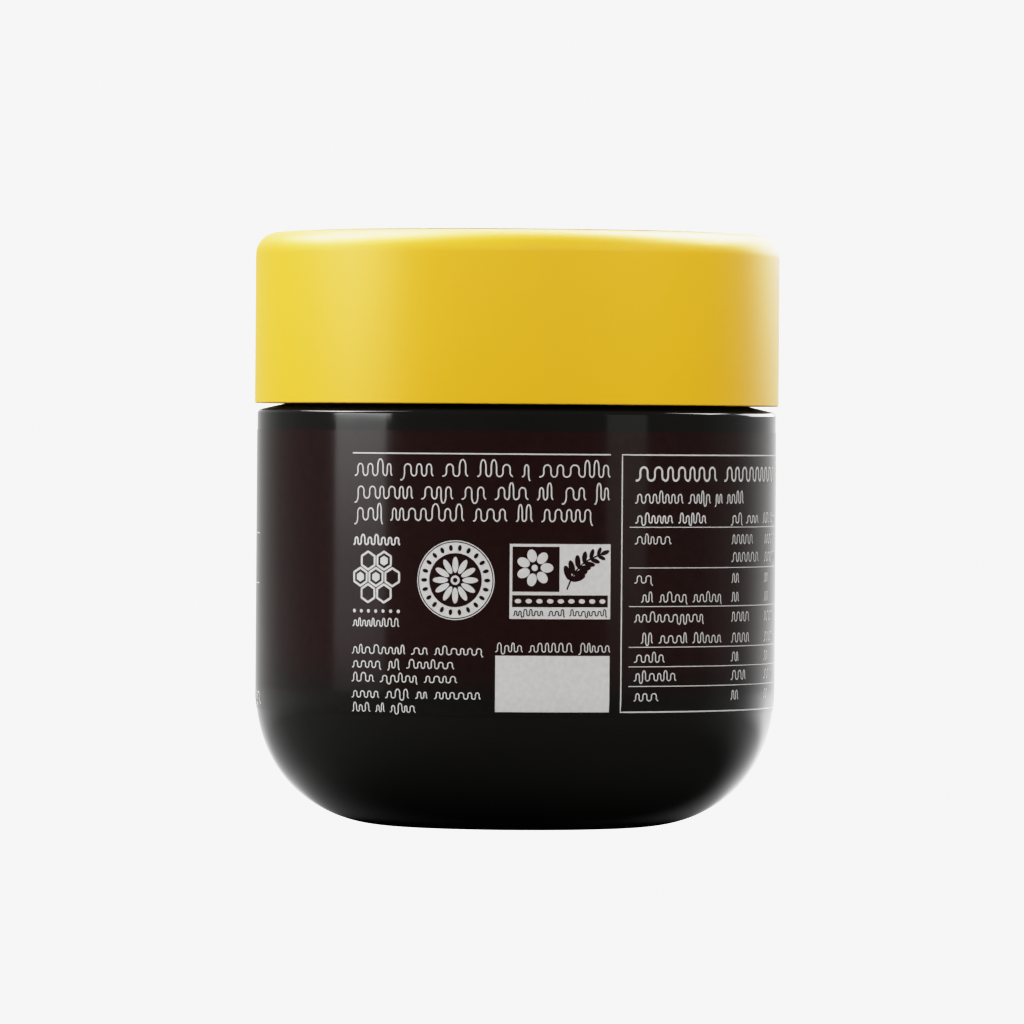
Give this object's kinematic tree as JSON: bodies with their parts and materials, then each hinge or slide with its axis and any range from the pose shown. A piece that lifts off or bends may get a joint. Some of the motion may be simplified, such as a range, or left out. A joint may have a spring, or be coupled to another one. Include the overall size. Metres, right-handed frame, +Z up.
{
  "type": "honey jar",
  "caption": "Squat shut honey jar: dark glass pot with a broad rounded foot, wrapped dark label, and a tall plain yellow cap.",
  "frame": {"origin": "middle of the base, on the surface the jar stands on", "axes": "+Z up along the jar's axis, -Y out of the printed side with the framed table, +X to its right"},
  "size_m": [0.07, 0.07, 0.0791],
  "materials": {
    "dark_glass": "gloss, opaque black",
    "label_film": "gloss dark brown film with off-white print",
    "yellow_cap": "satin",
    "lid_disc": "satin dark film"
  },
  "bodies": {
    "root": {"jar": "dark_glass", "label": "label_film", "lid": "yellow_cap", "lid_label": "lid_disc"}
  },
  "joints": []
}
